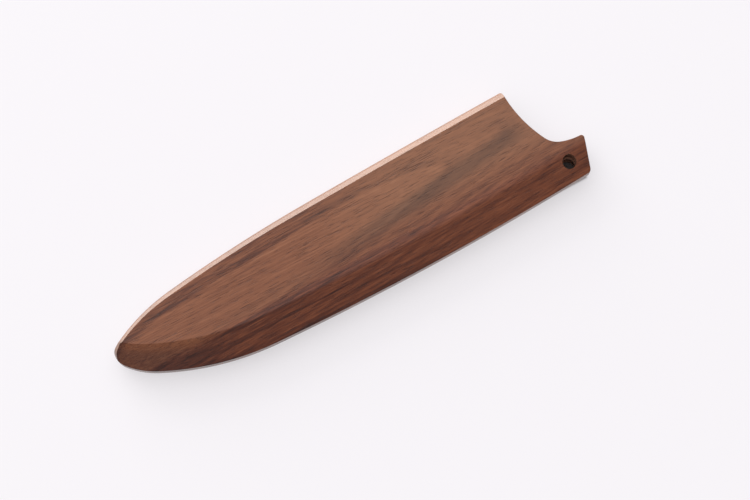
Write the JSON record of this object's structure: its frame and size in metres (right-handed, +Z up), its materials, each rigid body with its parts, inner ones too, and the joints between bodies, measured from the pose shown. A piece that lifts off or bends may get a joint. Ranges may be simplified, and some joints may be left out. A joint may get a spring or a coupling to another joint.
{
  "type": "knife blade guard",
  "caption": "Slim wooden sheath for a small kitchen knife, with carved faces, a notched handle end and a pin hole in its tail.",
  "frame": {"origin": "under the middle of the guard's box, in the flat face that it lies on", "axes": "+X along the guard from its nose to its handle end, +Y towards the side of the knife's spine, +Z up through the thickness"},
  "size_m": [0.1712, 0.0408, 0.011],
  "materials": {
    "walnut": "fine-sanded walnut with a satin oil finish",
    "magnet": "satin nickel plating"
  },
  "bodies": {
    "root": {"front_half": "walnut", "back_half": "walnut", "front_magnet_1": "magnet", "front_magnet_2": "magnet", "front_magnet_3": "magnet", "back_magnet_1": "magnet", "back_magnet_2": "magnet", "back_magnet_3": "magnet"}
  },
  "joints": []
}
